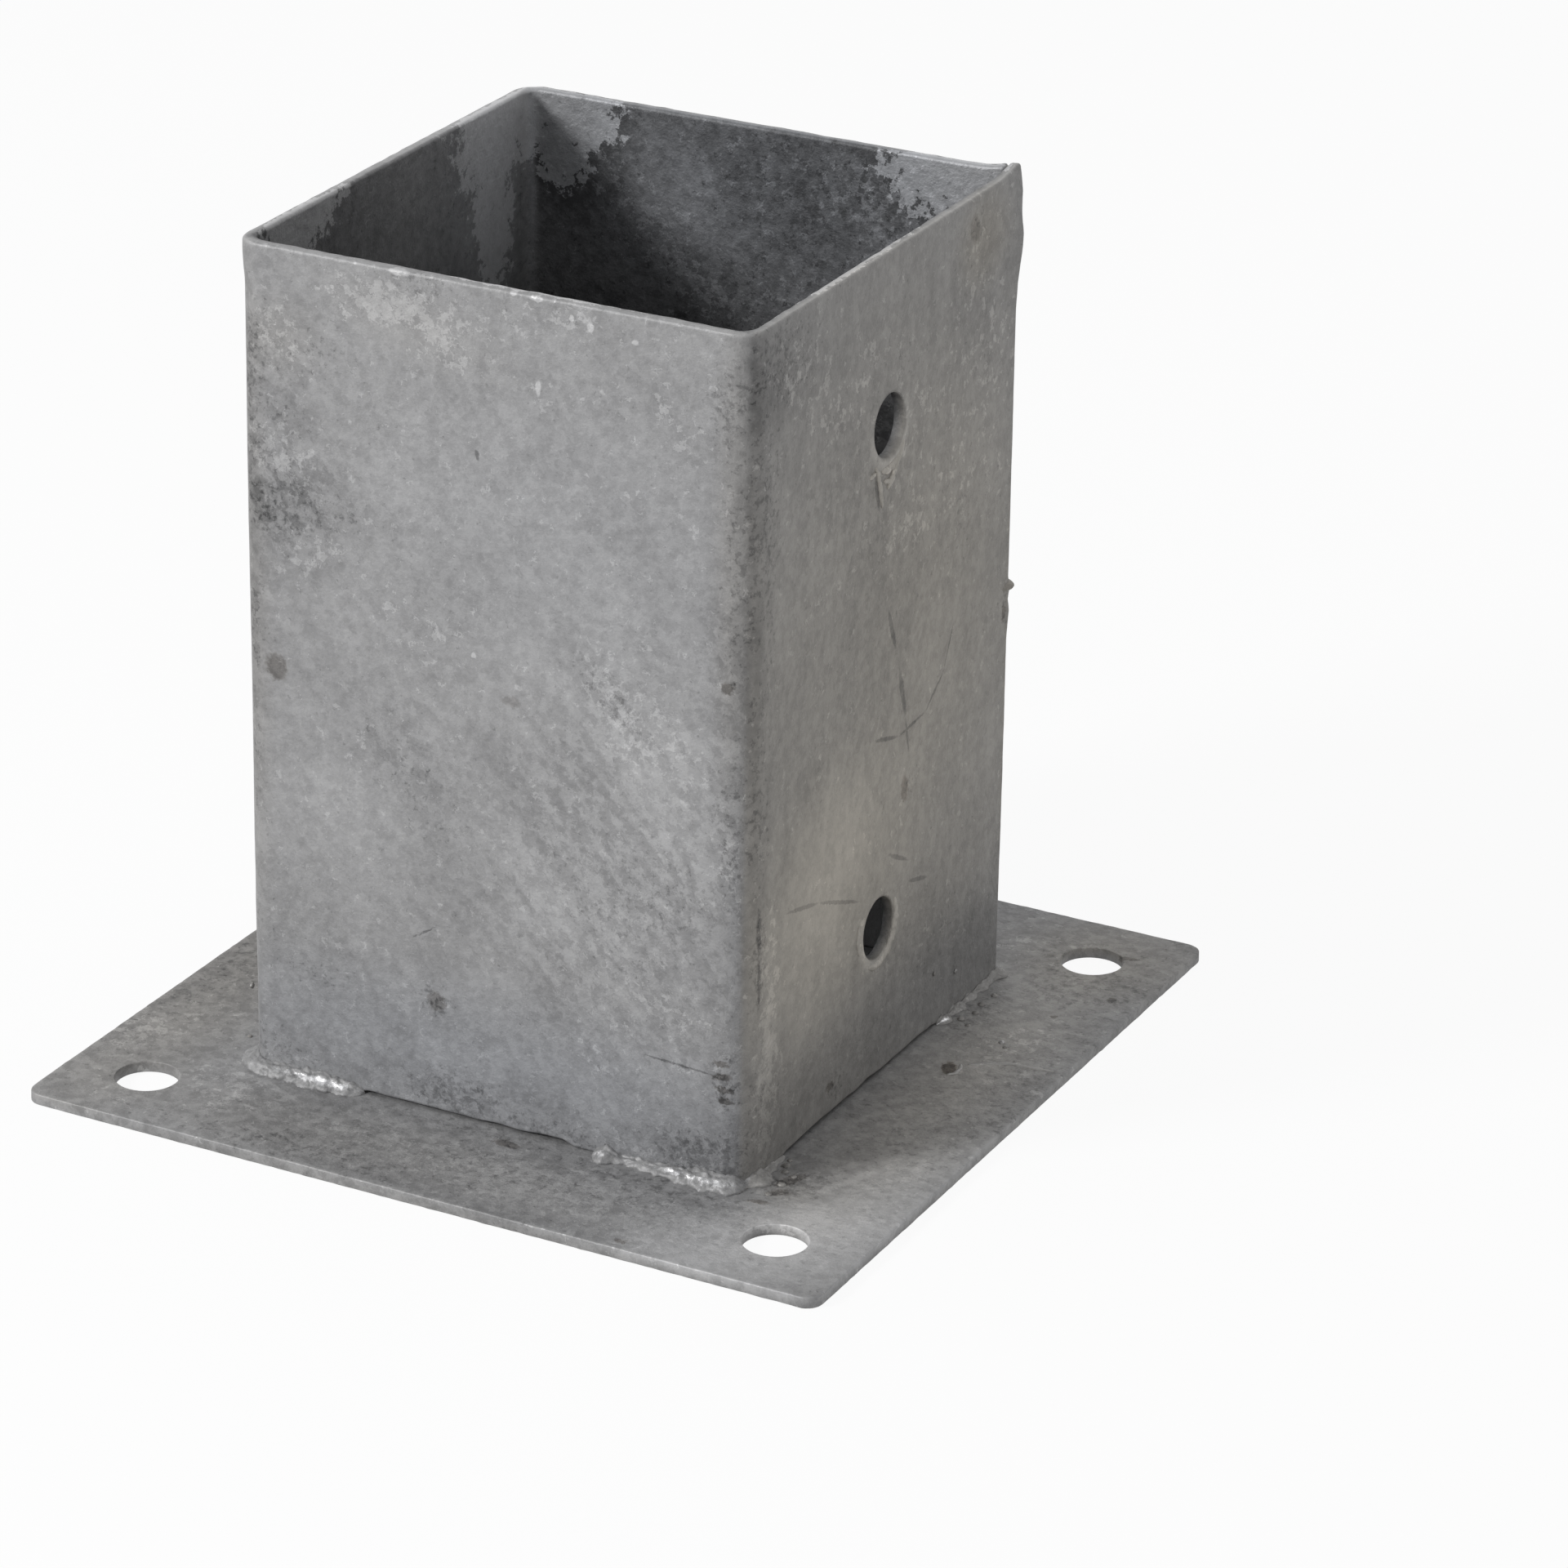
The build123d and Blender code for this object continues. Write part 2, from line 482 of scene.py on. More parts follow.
def make_foot_weld(node, fullness, highlights, seed):
    low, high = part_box(node)
    middle = (low + high) / 2
    sign_x, sign_y = math.copysign(1, middle.x), math.copysign(1, middle.y)
    end_x = high.x if sign_x < 0 else low.x
    end_y = high.y if sign_y < 0 else low.y
    reach = max(high.y, -low.y) - half
    rise = high.z - low.z
    at_seam = sign_x > 0 and sign_y > 0
    line = foot_line(sign_x, sign_y, end_x, end_y, 0.8 * MM if at_seam else BEND_RADIUS)
    total = BEAD_PITCH * (len(line) - 1)
    points = []
    shine = []
    for step, (place, outward) in enumerate(line):
        along = BEAD_PITCH * step
        share = along / total
        to_end = min(along, total - along) / reach
        ending = math.sqrt(max(1 - (1 - min(to_end, 1.0)) ** 2, 0.0025))
        full = level(fullness, share) * ending
        points.append(place - outward * BEAD_SINK - Vector((0, 0, BEAD_SINK)))
        shine.append(0.0)
        for k in range(SECTION_STEPS + 1):
            angle = math.radians(-6 + 102 * k / SECTION_STEPS)
            out, rising = math.cos(angle), math.sin(angle)
            power = BEAD_FULLNESS
            radius = ((abs(out) / reach) ** power + (abs(rising) / rise) ** power) ** (-1 / power)
            spot = Vector((along / MM, 2.5 * angle, seed))
            lumps = 0.24 * noise.noise(spot * 0.33) + 0.22 * noise.noise(spot * 0.85)
            lumps += 0.16 * noise.noise(spot * 1.9)
            radius *= full * (1 + lumps)
            points.append(place + outward * out * radius + Vector((0, 0, rising * radius)))
            # Painted highlight: the shine is strongest round the bead's upper front, and its strength along
            # the run follows the highlights profile.
            ridge = math.exp(-((math.degrees(angle) - 38) / 26) ** 2)
            shine.append(level(highlights, share) * ridge)
    faces = strip_faces(len(line), SECTION_STEPS + 2)
    if sign_x * sign_y < 0:
        faces = [face[::-1] for face in faces]
    piece = make_object(node.replace("foot_weld", "weld"), points, faces)
    store(piece, "shine", shine)
    store(piece, "warmth", np.where(points_of(piece)[:, 0] > half / MM, 0.2, 0.0))
    return piece


# How full each foot weld is along its run, and how strong the painted highlight on its ridge is, from its end
# on the wall that faces Y
FOOT_WELDS = {
    "foot_weld_front_left": (
        ((0, 0.6), (0.12, 0.78), (0.3, 0.85), (0.55, 0.75), (0.75, 0.8), (1, 0.6)),
        ((0, 0.3), (0.08, 0.9), (0.3, 1.0), (0.5, 0.75), (0.62, 0.25), (0.8, 0.2), (1, 0.1)),
    ),
    "foot_weld_front_right": (
        ((0, 0.8), (0.06, 0.95), (0.13, 0.5), (0.28, 0.52), (0.42, 0.75), (0.55, 0.9), (0.64, 0.85),
         (0.685, 0.35), (0.73, 0.8), (0.78, 0.72), (0.83, 0.3), (0.88, 0.36), (0.92, 0.16), (1, 0.3)),
        ((0, 0.6), (0.05, 0.9), (0.12, 0.25), (0.26, 0.35), (0.36, 0.8), (0.5, 0.8), (0.6, 0.9), (0.67, 0.4),
         (0.75, 0.25), (0.85, 0.1), (1, 0)),
    ),
    "foot_weld_back_right": (
        ((0, 0.7), (0.2, 0.8), (0.35, 0.5), (0.43, 0.3), (0.5, 0.42), (0.56, 0.18), (0.63, 0.42), (0.7, 0.16),
         (0.76, 0.45), (0.82, 0.4), (0.87, 0.16), (0.93, 0.6), (1, 0.55)),
        ((0, 0.3), (0.3, 0.2), (0.6, 0.1), (0.76, 0.1), (0.79, 0.4), (0.84, 0.1), (0.92, 0.7), (1, 1.0)),
    ),
    "foot_weld_back_left": (
        ((0, 0.7), (0.3, 0.85), (0.6, 0.65), (0.8, 0.8), (1, 0.7)),
        ((0, 0.4), (0.3, 0.7), (0.6, 0.4), (0.8, 0.2), (1, 0.2)),
    ),
}

# Bumps of the seam welds: height in millimetres, half width and how far they stand out
SEAM_WELDS = {
    "seam_weld_top": ((150.2, 1.0, 0.15), (139.5, 3.6, 0.25), (134.0, 1.4, -0.1)),
    "seam_weld_middle": ((75.4, 0.85, 1.5), (70.9, 0.9, 0.6), (67.5, 0.8, -0.1)),
}
SEAM_SECTION = 24
SEAM_INSET = Vector((1.0, 0.35, 0.0)) * MM
SEAM_COVER = 0.3 * MM


def make_seam_weld(node, bumps, seed):
    low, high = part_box(node)
    centre = Vector((high.x - SEAM_BEAD_RADIUS, high.y - SEAM_BEAD_RADIUS, 0)) - SEAM_INSET
    top = high.z + (0.9 * MM if node == "seam_weld_top" else 0)
    heights = stations(low.z, (top, BEAD_PITCH))
    points = []
    for height in heights:
        to_end = min(height - low.z, top - height) / (1.6 * SEAM_BEAD_RADIUS)
        ending = math.sqrt(max(1 - (1 - min(to_end, 1.0)) ** 2, 0.01))
        bump = 0.0
        for place, width, stand in bumps:
            bump += stand * MM * math.exp(-((height / MM - place) / width) ** 2)
        radius = SEAM_BEAD_RADIUS * ending + bump
        for k in range(SEAM_SECTION):
            angle = 2 * math.pi * k / SEAM_SECTION
            out = Vector((math.cos(angle), math.sin(angle), 0))
            spot = Vector((height / MM * 0.35, 1.2 * angle, seed))
            lumps = 0.1 * noise.noise(spot) + 0.04 * noise.noise(spot * 3)
            point = centre + out * radius * (1 + lumps) + Vector((0, 0, height))
            point.x = min(point.x, half - SEAM_COVER + bump)
            points.append(point)
    faces = strip_faces(len(heights), SEAM_SECTION)
    piece = make_object(node.replace("seam_weld", "seam_bead"), points, faces)
    store(piece, "warmth", [0.7] * len(points))
    return piece


# Spatter and crumbs stuck to the zinc: place in millimetres, radius, how flat they lie, and shine, which also
# paints a highlight on them
CRUMBS = (
    ((60.4, 22.9, 2.0), 0.6, 0.6, 0.7),
    ((61.6, 21.4, 2.0), 0.4, 0.5, 0.0),
    ((52.4, 26.0, 2.0), 0.55, 0.5, 0.1),
    ((52.0, -42.4, 2.0), 0.7, 0.6, 0.0),
    ((52.4, -39.0, 2.0), 0.55, 0.5, 0.0),
    ((49.6, -36.2, 2.0), 0.8, 0.6, 0.0),
    ((50.4, -38.2, 2.0), 0.7, 0.6, 0.1),
    ((49.2, -34.2, 2.0), 0.5, 0.6, 0.0),
    ((51.6, -46.4, 2.0), 0.6, 0.5, 0.0),
    ((50.2, 27.6, 2.0), 0.7, 0.6, 0.0),
    ((51.4, 31.0, 2.0), 0.6, 0.6, 0.0),
    ((50.8, 34.6, 2.0), 0.7, 0.5, 0.0),
    ((51.2, 38.8, 2.0), 0.6, 0.6, 0.0),
    ((-53.0, -38.5, 2.0), 0.5, 0.5, 0.0),
    ((47.6, 30.5, 9.4), 0.45, 0.5, 0.7),
    ((47.6, 22.0, 12.4), 0.4, 0.5, 0.5),
    ((-47.4, -46.2, 16.2), 0.55, 0.5, 0.5),
    ((-30.2, 52.4, 2.0), 0.55, 0.5, 0.1),
    ((-52.8, 33.0, 2.0), 0.45, 0.5, 0.1),
)
CRUMB_ROWS = 8
CRUMB_COLUMNS = 10


def make_crumbs():
    """Small lumps, each a ball of rows and columns, sunk a little into what it sits on."""
    points = []
    faces = []
    shine = []
    for number, (centre, radius, flat, bright) in enumerate(CRUMBS):
        faces += strip_faces(CRUMB_ROWS, CRUMB_COLUMNS, len(points))
        centre = Vector(centre)
        scale = Vector((flat, 1, 1)) if centre.z > 3 else Vector((1, 1, flat))
        for row in range(CRUMB_ROWS):
            lift = math.pi * ((row + 0.5) / CRUMB_ROWS - 0.5)
            across, up = math.cos(lift), math.sin(lift)
            for column in range(CRUMB_COLUMNS):
                turn = 2 * math.pi * column / CRUMB_COLUMNS
                out = Vector((across * math.cos(turn), across * math.sin(turn), up))
                rough = 1 + 0.35 * noise.noise(out * 1.7 + Vector((number * 3.3, 0, 0)))
                points.append((centre + out * scale * radius * rough) * MM)
                shine.append(bright)
    piece = make_object("weld_spatter", points, faces)
    store(piece, "shine", shine)
    store(piece, "warmth", np.full(len(points), 0.3))
    store(piece, "tone", np.full(len(points), -0.06))
    return piece


# Ridges of torn and pulled-up metal: the line of each in millimetres, its half width and height.
# The lines lie on the right wall round its bolt holes, along Y and Z, and on the plate, along X and Y
RIDGES = {
    "right": (
        (((-5.0, 114.4), (-4.0, 113.0), (-3.1, 110.0), (-2.1, 106.4)), 0.5, 0.4),
        (((-7.0, 112.9), (-5.6, 113.3), (-4.6, 113.2)), 0.35, 0.3),
        (((4.4, 114.3), (2.6, 112.6), (1.0, 110.6), (-0.4, 109.0)), 0.65, 0.5),
        (((-2.6, 112.9), (-0.2, 112.4), (2.6, 113.1), (4.4, 114.6), (5.4, 116.4)), 0.85, 0.4),
        (((-1.8, 110.9), (0.4, 110.3), (1.9, 111.1)), 0.5, 0.4),
        (((-3.6, 24.2), (-1.4, 23.4), (0.8, 23.4), (3.6, 24.6), (5.8, 27.2), (6.6, 30.6), (6.0, 33.4)),
         0.9, 0.45),
        (((-6.9, 27.6), (-7.6, 30.4), (-7.0, 33.2)), 0.5, 0.3),
    ),
    "top": (
        (((57.6, 7.0), (58.7, 8.4), (58.6, 10.4), (57.9, 12.0)), 0.4, 0.3),
        (((59.0, 12.4), (62.0, 14.6), (65.0, 16.2), (69.0, 16.4), (73.0, 17.2)), 0.55, 0.16),
    ),
}
RIDGE_STEP = 0.35
RIDGE_SECTION = 8
HEADING_REACH = 0.4


def point_on(corners, runs, mark):
    """The point at a distance along a line of corners. runs are the distances of the corners."""
    return Vector([np.interp(mark, runs, [corner[axis] for corner in corners]) for axis in (0, 1)])


def make_ridges():
    """Low rough ridges, each a tube along its line, sunk halfway into the metal."""
    points = []
    faces = []
    for number, (face, line, width, height) in enumerate(by_face(RIDGES)):
        runs = [0.0]
        for before, after in zip(line, line[1:]):
            runs.append(runs[-1] + math.dist(before, after))
        marks = stations(0.0, (runs[-1], RIDGE_STEP))
        faces += strip_faces(len(marks), RIDGE_SECTION, len(points))
        for mark in marks:
            here = point_on(line, runs, mark)
            ahead, behind = (point_on(line, runs, mark + reach) for reach in (HEADING_REACH, -HEADING_REACH))
            run = (ahead - behind).normalized()
            taper = math.sqrt(max(1 - (2 * mark / runs[-1] - 1) ** 4, 0.02))
            for k in range(RIDGE_SECTION):
                angle = 2 * math.pi * k / RIDGE_SECTION
                rough = 1 + 0.5 * noise.noise(Vector((mark * 1.3, angle, 7.0 * number)))
                across = width * taper * rough * math.cos(angle)
                lift = height * taper * rough * math.sin(angle)
                place = on_face(face, here.x - run.y * across, here.y + run.x * across) * MM
                if face == "right":
                    place.x += sheet_wave(place)
                place[FACES[face][0]] += lift * MM
                points.append(place)
    piece = make_object("zinc_ridges", points, faces)
    on_wall = points_of(piece)[:, 2] > 3
    store(piece, "warmth", np.where(on_wall, 0.6, 0.2))
    store(piece, "tone", np.where(on_wall, 0.24, 0.26))
    return piece


sleeve = make_sleeve()
plate = make_plate()
foot_welds = [
    make_foot_weld(node, fullness, highlights, 5.0 * number)
    for number, (node, (fullness, highlights)) in enumerate(FOOT_WELDS.items())
]
seam_welds = [
    make_seam_weld(node, bumps, 3.0 * number) for number, (node, bumps) in enumerate(SEAM_WELDS.items())
]
crumbs = make_crumbs()
ridges = make_ridges()


# Patina, with painted light and painted shade in some rows: soft patches on each face, which the materials
# break up with noise

# Each patch: u and v of its centre, its half length and half width in millimetres, its amount and,
# where it is turned, the degrees from u to v. "tone" darkens below 0 and lightens above it, and
# "warmth" runs from bluish to brown. "grime" is dark speckling, "fleck" is pale speckling, "silver"
# is bare bright zinc with ragged edges, and "crease" is slanted fine wrinkling.
SLEEVE_PATCHES = {
    "tone": {
        "front": (
            (-31, 107, 11, 6, -0.08, -10), (-41, 113, 8, 7, -0.08), (-42, 103, 9, 5, -0.07, -10),
            (-34, 95, 9, 3.5, -0.05, 25), (-21, 70, 22, 7, -0.05, -52), (-9, 52, 15, 6, -0.045, -58),
            (3, 64, 12, 5, -0.03, -55), (22, 76, 24, 6, 0.06, -43), (-32, 58, 24, 5, 0.03, -52),
            (8, 52, 18, 4, 0.045, -50), (0, 6, 30, 6, -0.07), (38, 8, 14, 8, -0.1), (-38, 9, 12, 7, -0.03),
            # The last row below, at u 44, is painted shade along the bend to the right face.
            (-16, 142, 18, 7, 0.03, -8), (10, 118, 30, 18, 0.02), (44, 80, 5, 75, -0.09),
            (-46, 90, 3, 60, -0.1), (24, 34, 16, 12, 0.02, -30), (-33, 40, 16, 20, 0.02),
            (-5, 94, 14, 9, -0.03, 60), (0, 24, 50, 12, -0.03), (24, 54, 16, 14, 0.035),
            (0, 145, 60, 24, -0.045), (-44, 80, 14, 90, -0.05), (-37, 110, 14, 12, -0.03, -15),
            (28, 78, 14, 7, 0.04, -42), (-38, 122, 9, 3.5, -0.06, -15),
        ),
        "right": (
            (-18, 53, 15, 13, 0.1, 14), (-25, 35, 20, 15, 0.12), (6, 58, 18, 14, 0.05, 30),
            (26, 78, 20, 26, 0.04), (22, 13, 40, 11, -0.1, 8), (-24, 9, 26, 9, -0.08),
            # The first row below, at u -45, is painted shade along the bend from the front face.
            (-45, 85, 5, 70, -0.09), (12, 36, 18, 9, 0.03, 10), (-42, 142, 9, 9, -0.07),
            (0, 96, 16, 9, -0.02), (-10, 80, 34, 12, -0.03, 12), (0, 130, 50, 26, -0.05),
            (-31, 14, 10, 2.5, 0.05, 60), (-14, 46, 22, 15, 0.1, -8), (0, 110, 60, 60, 0.015),
            (-40, 142, 14, 12, -0.06, -20),
        ),
        "left inside": ((20, 146, 40, 24, 0.23), (34, 132, 13, 34, 0.2)),
        "back inside": (
            (-38, 143, 12, 14, -0.15), (-14, 136, 10, 10, 0.1), (12, 140, 26, 14, -0.05),
            (23, 98, 13, 13, -0.08), (23, 8, 14, 14, 0.65),
        ),
        "back": (
            (-20, 110, 30, 16, 0.06, 30), (18, 70, 26, 12, -0.07, -40), (-25, 40, 20, 14, -0.06),
            (25, 130, 16, 10, 0.05), (10, 20, 30, 10, 0.04), (44, 80, 5, 70, -0.08),
        ),
        "left": (
            (20, 110, 26, 16, 0.06, -30), (-20, 60, 30, 12, -0.07, 45), (25, 40, 20, 14, 0.05),
            (0, 12, 40, 9, -0.08), (-30, 130, 14, 12, -0.06),
        ),
    },
    "warmth": {
        "right": (
            # The first row, over the whole face, is partly the zinc's brown tint and partly painted warm
            # light.
            (0, 60, 75, 95, 0.6), (-18, 45, 30, 20, 0.35, 10), (20, 85, 26, 34, 0.15),
            (34, 142, 9, 8, 0.45), (20, 10, 45, 14, -0.25),
        ),
        "front": (
            (0, 12, 60, 15, -0.2), (15, 112, 36, 26, -0.04), (-14, 141, 17, 6, 0.06, -12),
            (-40, 135, 8, 7, 0.1), (-46, 85, 4, 60, 0.15), (45, 110, 4, 40, 0.2),
        ),
        "back inside": ((0, 140, 50, 30, -0.3),),
        "left inside": ((30, 130, 20, 25, -0.1),),
        "back": ((10, 60, 40, 40, 0.35),),
        "left": ((10, 90, 40, 40, -0.1),),
    },
    "grime": {
        "front": (
            (-45, 128, 4, 14, 0.8), (-43, 106, 7, 6, 0.6, -10), (-40, 122, 8, 3, 0.6, -15),
            (-34, 107, 14, 5, 0.4, -12), (-46, 85, 4, 11, 0.75), (-46, 60, 3, 12, 0.6),
            (-31, 134, 6, 5, 0.5), (-12, 148, 6, 2.2, 0.8), (43, 137, 5, 9, 0.75), (45, 112, 3, 24, 0.6),
            (44, 66, 3.5, 16, 0.6), (44, 20, 3, 6, 0.95), (40, 6, 11, 6, 1.1), (-10.5, 22.5, 3.5, 3.5, 0.9),
            (-7, 6, 10, 5, 1.0), (10, 4, 16, 3, 0.6), (-33, 22.5, 8, 1.6, 0.6, -3),
            (-28, 105.5, 5, 3, 0.6, -25), (22, 84, 9, 3, 0.8, -45), (31, 50, 12, 12, 0.5, -40),
            (18, 47, 16, 5, 0.45, -52), (-15, 62, 16, 6, 0.35, -52), (-40, 102, 8, 2.5, 0.7),
            (-40, 5, 10, 5, 0.6),
        ),
        "right": (
            (-38, 143, 12, 8, 0.75, -20), (-43, 115, 6, 26, 0.7), (-44, 70, 4, 24, 0.6),
            (-43, 42, 2.4, 10, 0.95), (-42, 14, 5, 10, 0.5), (31, 145, 4, 3, 0.7), (5, 130, 6, 5, 0.35),
            (-1, 52, 5, 3, 0.3), (11, 52, 3, 4, 0.7), (-14, 7, 3, 2.5, 0.75), (46, 72, 3, 5, 0.8),
            (30, 96, 12, 8, 0.3),
        ),
        "back inside": ((18, 138, 30, 12, 0.3), (0, 115, 36, 14, 0.2)),
        "left inside": ((30, 128, 20, 20, 0.3),),
        "back": ((0, 5, 46, 5, 0.6), (40, 90, 8, 50, 0.4)),
        "left": ((0, 5, 46, 5, 0.6), (-38, 110, 9, 14, 0.6)),
    },
    "fleck": {
        "front": (
            (-16, 144, 13, 4.4, 1.3, -4), (-8, 139.5, 6, 4, 1.1, -20), (-39, 114, 8, 4.5, 0.95, -20),
            (-34, 98, 11, 4, 0.6, 22), (27, 80, 14, 7, 0.75, -42), (-12, 88, 10, 5, 0.45, -40),
            (-39, 136, 6, 6, 0.7), (9, 134.5, 2.2, 3, 0.6), (14, 146, 9, 4, 0.6), (31, 135, 3, 5, 0.7, -30),
            (35, 130, 4, 4, 0.5), (-14, 5.4, 5, 3, 0.7), (22, 20, 6, 4, 0.5), (30, 84, 7, 3, 0.6, -40),
            (30, 6, 10, 4, 0.5), (45, 60, 3, 8, 0.6), (33, 30, 12, 8, 0.4, -40),
        ),
        "right": (
            (-22, 131, 14, 7, 0.6, -20), (14, 121, 14, 16, 0.4), (8, 100, 14, 6, 0.6),
            (-39.5, 24, 3.5, 24, 1.35, -3), (-40, 43, 5, 6, 0.7), (-6, 133, 9, 6, 0.5),
            (34, 124, 12, 22, 0.5), (24, 104, 12, 12, 0.4), (-32, 140, 9, 6, 0.7), (0, 29, 9, 9, 0.35),
            (-37, 12, 2, 12, 0.7, -20),
        ),
        "back inside": (
            (-18, 126, 22, 6, 0.75, -45), (22, 139, 15, 9, 0.8, -20), (-4, 142, 8, 6, 0.55),
            (4, 120, 14, 9, 0.4),
        ),
        "back": ((-20, 120, 20, 12, 0.5),),
        "left": ((20, 100, 22, 14, 0.5),),
    },
    "silver": {
        "back inside": (
            (-38, 149, 13, 10.5, 1.0, -25), (-39, 140, 7, 9, 0.9), (38, 150, 19, 13, 1.0, 10),
            (42, 138, 8, 14, 0.8),
        ),
        "left inside": (
            (-29, 151, 17, 10, 1.0, 20), (32, 147, 14, 16, 1.0), (33, 130, 7.5, 17, 0.95),
            (43, 148, 8, 12, 1.0),
        ),
        "front inside": ((10, 145, 26, 12, 0.9),),
        "right inside": ((-10, 145, 28, 14, 0.9),),
    },
    "crease": {
        "front": (
            (24, 52, 32, 42, 1.2), (44, 60, 8, 60, 1.0), (-38, 108, 14, 13, 1.4), (-40, 130, 10, 9, 0.8),
            (22, 84, 12, 6, 1.2, -45), (-15, 66, 24, 12, 0.7, -52), (0, 6, 50, 8, 0.8),
        ),
        "right": ((0, 75, 60, 90, 0.6), (-10, 110, 40, 30, 0.75)),
        "back": ((0, 75, 60, 90, 0.6),),
        "left": ((0, 75, 60, 90, 0.6),),
    },
}
PLATE_PATCHES = {
    "tone": {
        "top": (
            # The three rows on the next line and the first two on the line after it are painted light: they
            # lighten the lit wedge beside the sleeve's shadow and lift that shadow on the plate's right
            # strip.
            (64, -60, 30, 15, 0.39, 40), (70, -34, 8, 22, 0.17, -15), (62, 0, 14, 60, 0.1),
            (58, -52, 8, 5, 0.1, 30), (60, 8, 13, 40, 0.1, 8), (0, -54, 45, 6, -0.03),
            (-66, 5, 14, 70, -0.1), (58, 60, 18, 14, -0.02), (46, -57, 8, 3, -0.07, -10),
            (-40, -60, 14, 8, -0.03), (-66, -40, 8, 8, 0.06), (30, -68, 22, 4, 0.04), (0, 62, 50, 12, 0.03),
            (68, 26, 7, 12, 0.05),
        ),
        "underside": ((0, 0, 70, 40, -0.04, 30), (30, 30, 30, 20, 0.05)),
    },
    "warmth": {
        "top": (
            (-68, -20, 14, 60, 0.3), (60, 10, 14, 60, 0.3), (-20, -64, 50, 12, 0.12), (62, 62, 20, 16, 0.3),
            (54, -44, 5, 5, 0.1),
        ),
        "underside": ((0, 0, 90, 90, 0.2),),
    },
    "grime": {
        "top": (
            (54, -42, 8, 4, 1.3, 60), (3, -50, 20, 2.4, 0.8), (-38, -47, 12, 3, 0.6), (51, 30, 3, 13, 0.8),
            (64, 52, 14, 14, 0.7), (36, -53, 18, 3, 0.8), (-20, -70, 40, 5, 0.6), (70, 0, 6, 70, 0.6),
            (-70, -10, 6, 60, 0.5), (62, -12, 12, 30, 0.5), (20, -60, 40, 8, 0.45), (60, -58, 16, 12, 0.4),
        ),
        "underside": ((0, 0, 60, 60, 0.4),),
    },
    "fleck": {
        "top": (
            (50, -60, 30, 12, 1.0, 30), (14, -62, 40, 10, 0.95), (-45, -56, 14, 9, 0.6),
            (-70, -44, 6, 12, 0.8), (67, -30, 5, 22, 0.7, -15), (0, 62, 60, 10, 0.5), (62, 20, 12, 18, 0.4),
        ),
    },
    "crease": {
        "top": ((0, -60, 80, 12, 0.7), (62, 0, 14, 80, 0.7), (-62, 0, 14, 80, 0.6)),
    },
}
CREASE_BASE = 0.35
PATCH_EDGE = 2.2
FACE_DEPTH = 0.9


def broad_tone(point):
    """Clouds and streaks of the patina: slanted on the walls that face Y, and upright on the others."""
    x, y, z = point
    total = 0.05 * noise.noise(Vector(point) * 0.05) + 0.04 * noise.noise(Vector(point) * 0.14)
    if z < 3:
        return total + 0.05 * noise.noise(Vector((x * 0.09, y * 0.32, 3.0)))
    if abs(y) > abs(x):
        along, across = 0.62 * x - 0.79 * z, 0.79 * x + 0.62 * z
        streaks = noise.noise(Vector((along * 0.09, across * 0.42, y)))
        return total + 0.045 * streaks * (1 - smooth(80, 130, z) * 0.8)
    return total + 0.05 * noise.noise(Vector((x, y * 0.35, z * 0.07)))


def paint(piece, patches, more_tone=None):
    """Stores each layer on the piece's points: tones and warmths add up, and of the others the
    strongest counts."""
    points = points_of(piece)
    for layer, table in patches.items():
        total = np.full(len(points), CREASE_BASE if layer == "crease" else 0.0)
        if layer == "tone":
            total += [broad_tone(point) for point in points]
            total += more_tone(points) if more_tone else 0.0
        for face, u, v, length, width, amount, *turn in by_face(table):
            across, place, u_axis, v_axis = FACES[face]
            du, dv = points[:, u_axis] - u, points[:, v_axis] - v
            angle = math.radians(sum(turn))
            cos, sin = math.cos(angle), math.sin(angle)
            away = ((du * cos + dv * sin) / length) ** 2 + ((dv * cos - du * sin) / width) ** 2
            soft = np.clip(1 - away / PATCH_EDGE, 0, 1) ** 2
            soft *= np.clip(2 - np.abs(points[:, across] - place) / FACE_DEPTH, 0, 1)
            if "inside" in face:
                soft *= np.abs(points[:, u_axis]) < (half - 0.6 * SHEET) / MM
            if layer in ("tone", "warmth"):
                total += amount * soft
            else:
                total = np.maximum(total, amount * soft)
        store(piece, layer, total)


def hole_shade_and_bruise(points):
    """Painted shade on the walls of the bolt holes, darker high in them and less so low down, and paler
    bruised zinc below them.
    """
    total = np.zeros(len(points))
    for middle in bolt_heights:
        across, up = points[:, 1], points[:, 2] - middle / MM
        away = np.hypot(across, up) - bolt_radius / MM
        below = np.clip((4 - up) / 7, 0, 1)
        ring = 0.24 * below * np.exp(-((away - 0.9) / 0.8) ** 2)
        total += np.where(away < 0.25, 0.2 * below - 0.17, ring)
    return total


def from_outline(points, outline):
    """How far each point lies inside a square of the given half side, in millimetres."""
    return outline / MM - np.abs(points[:, :2]).max(axis=1)


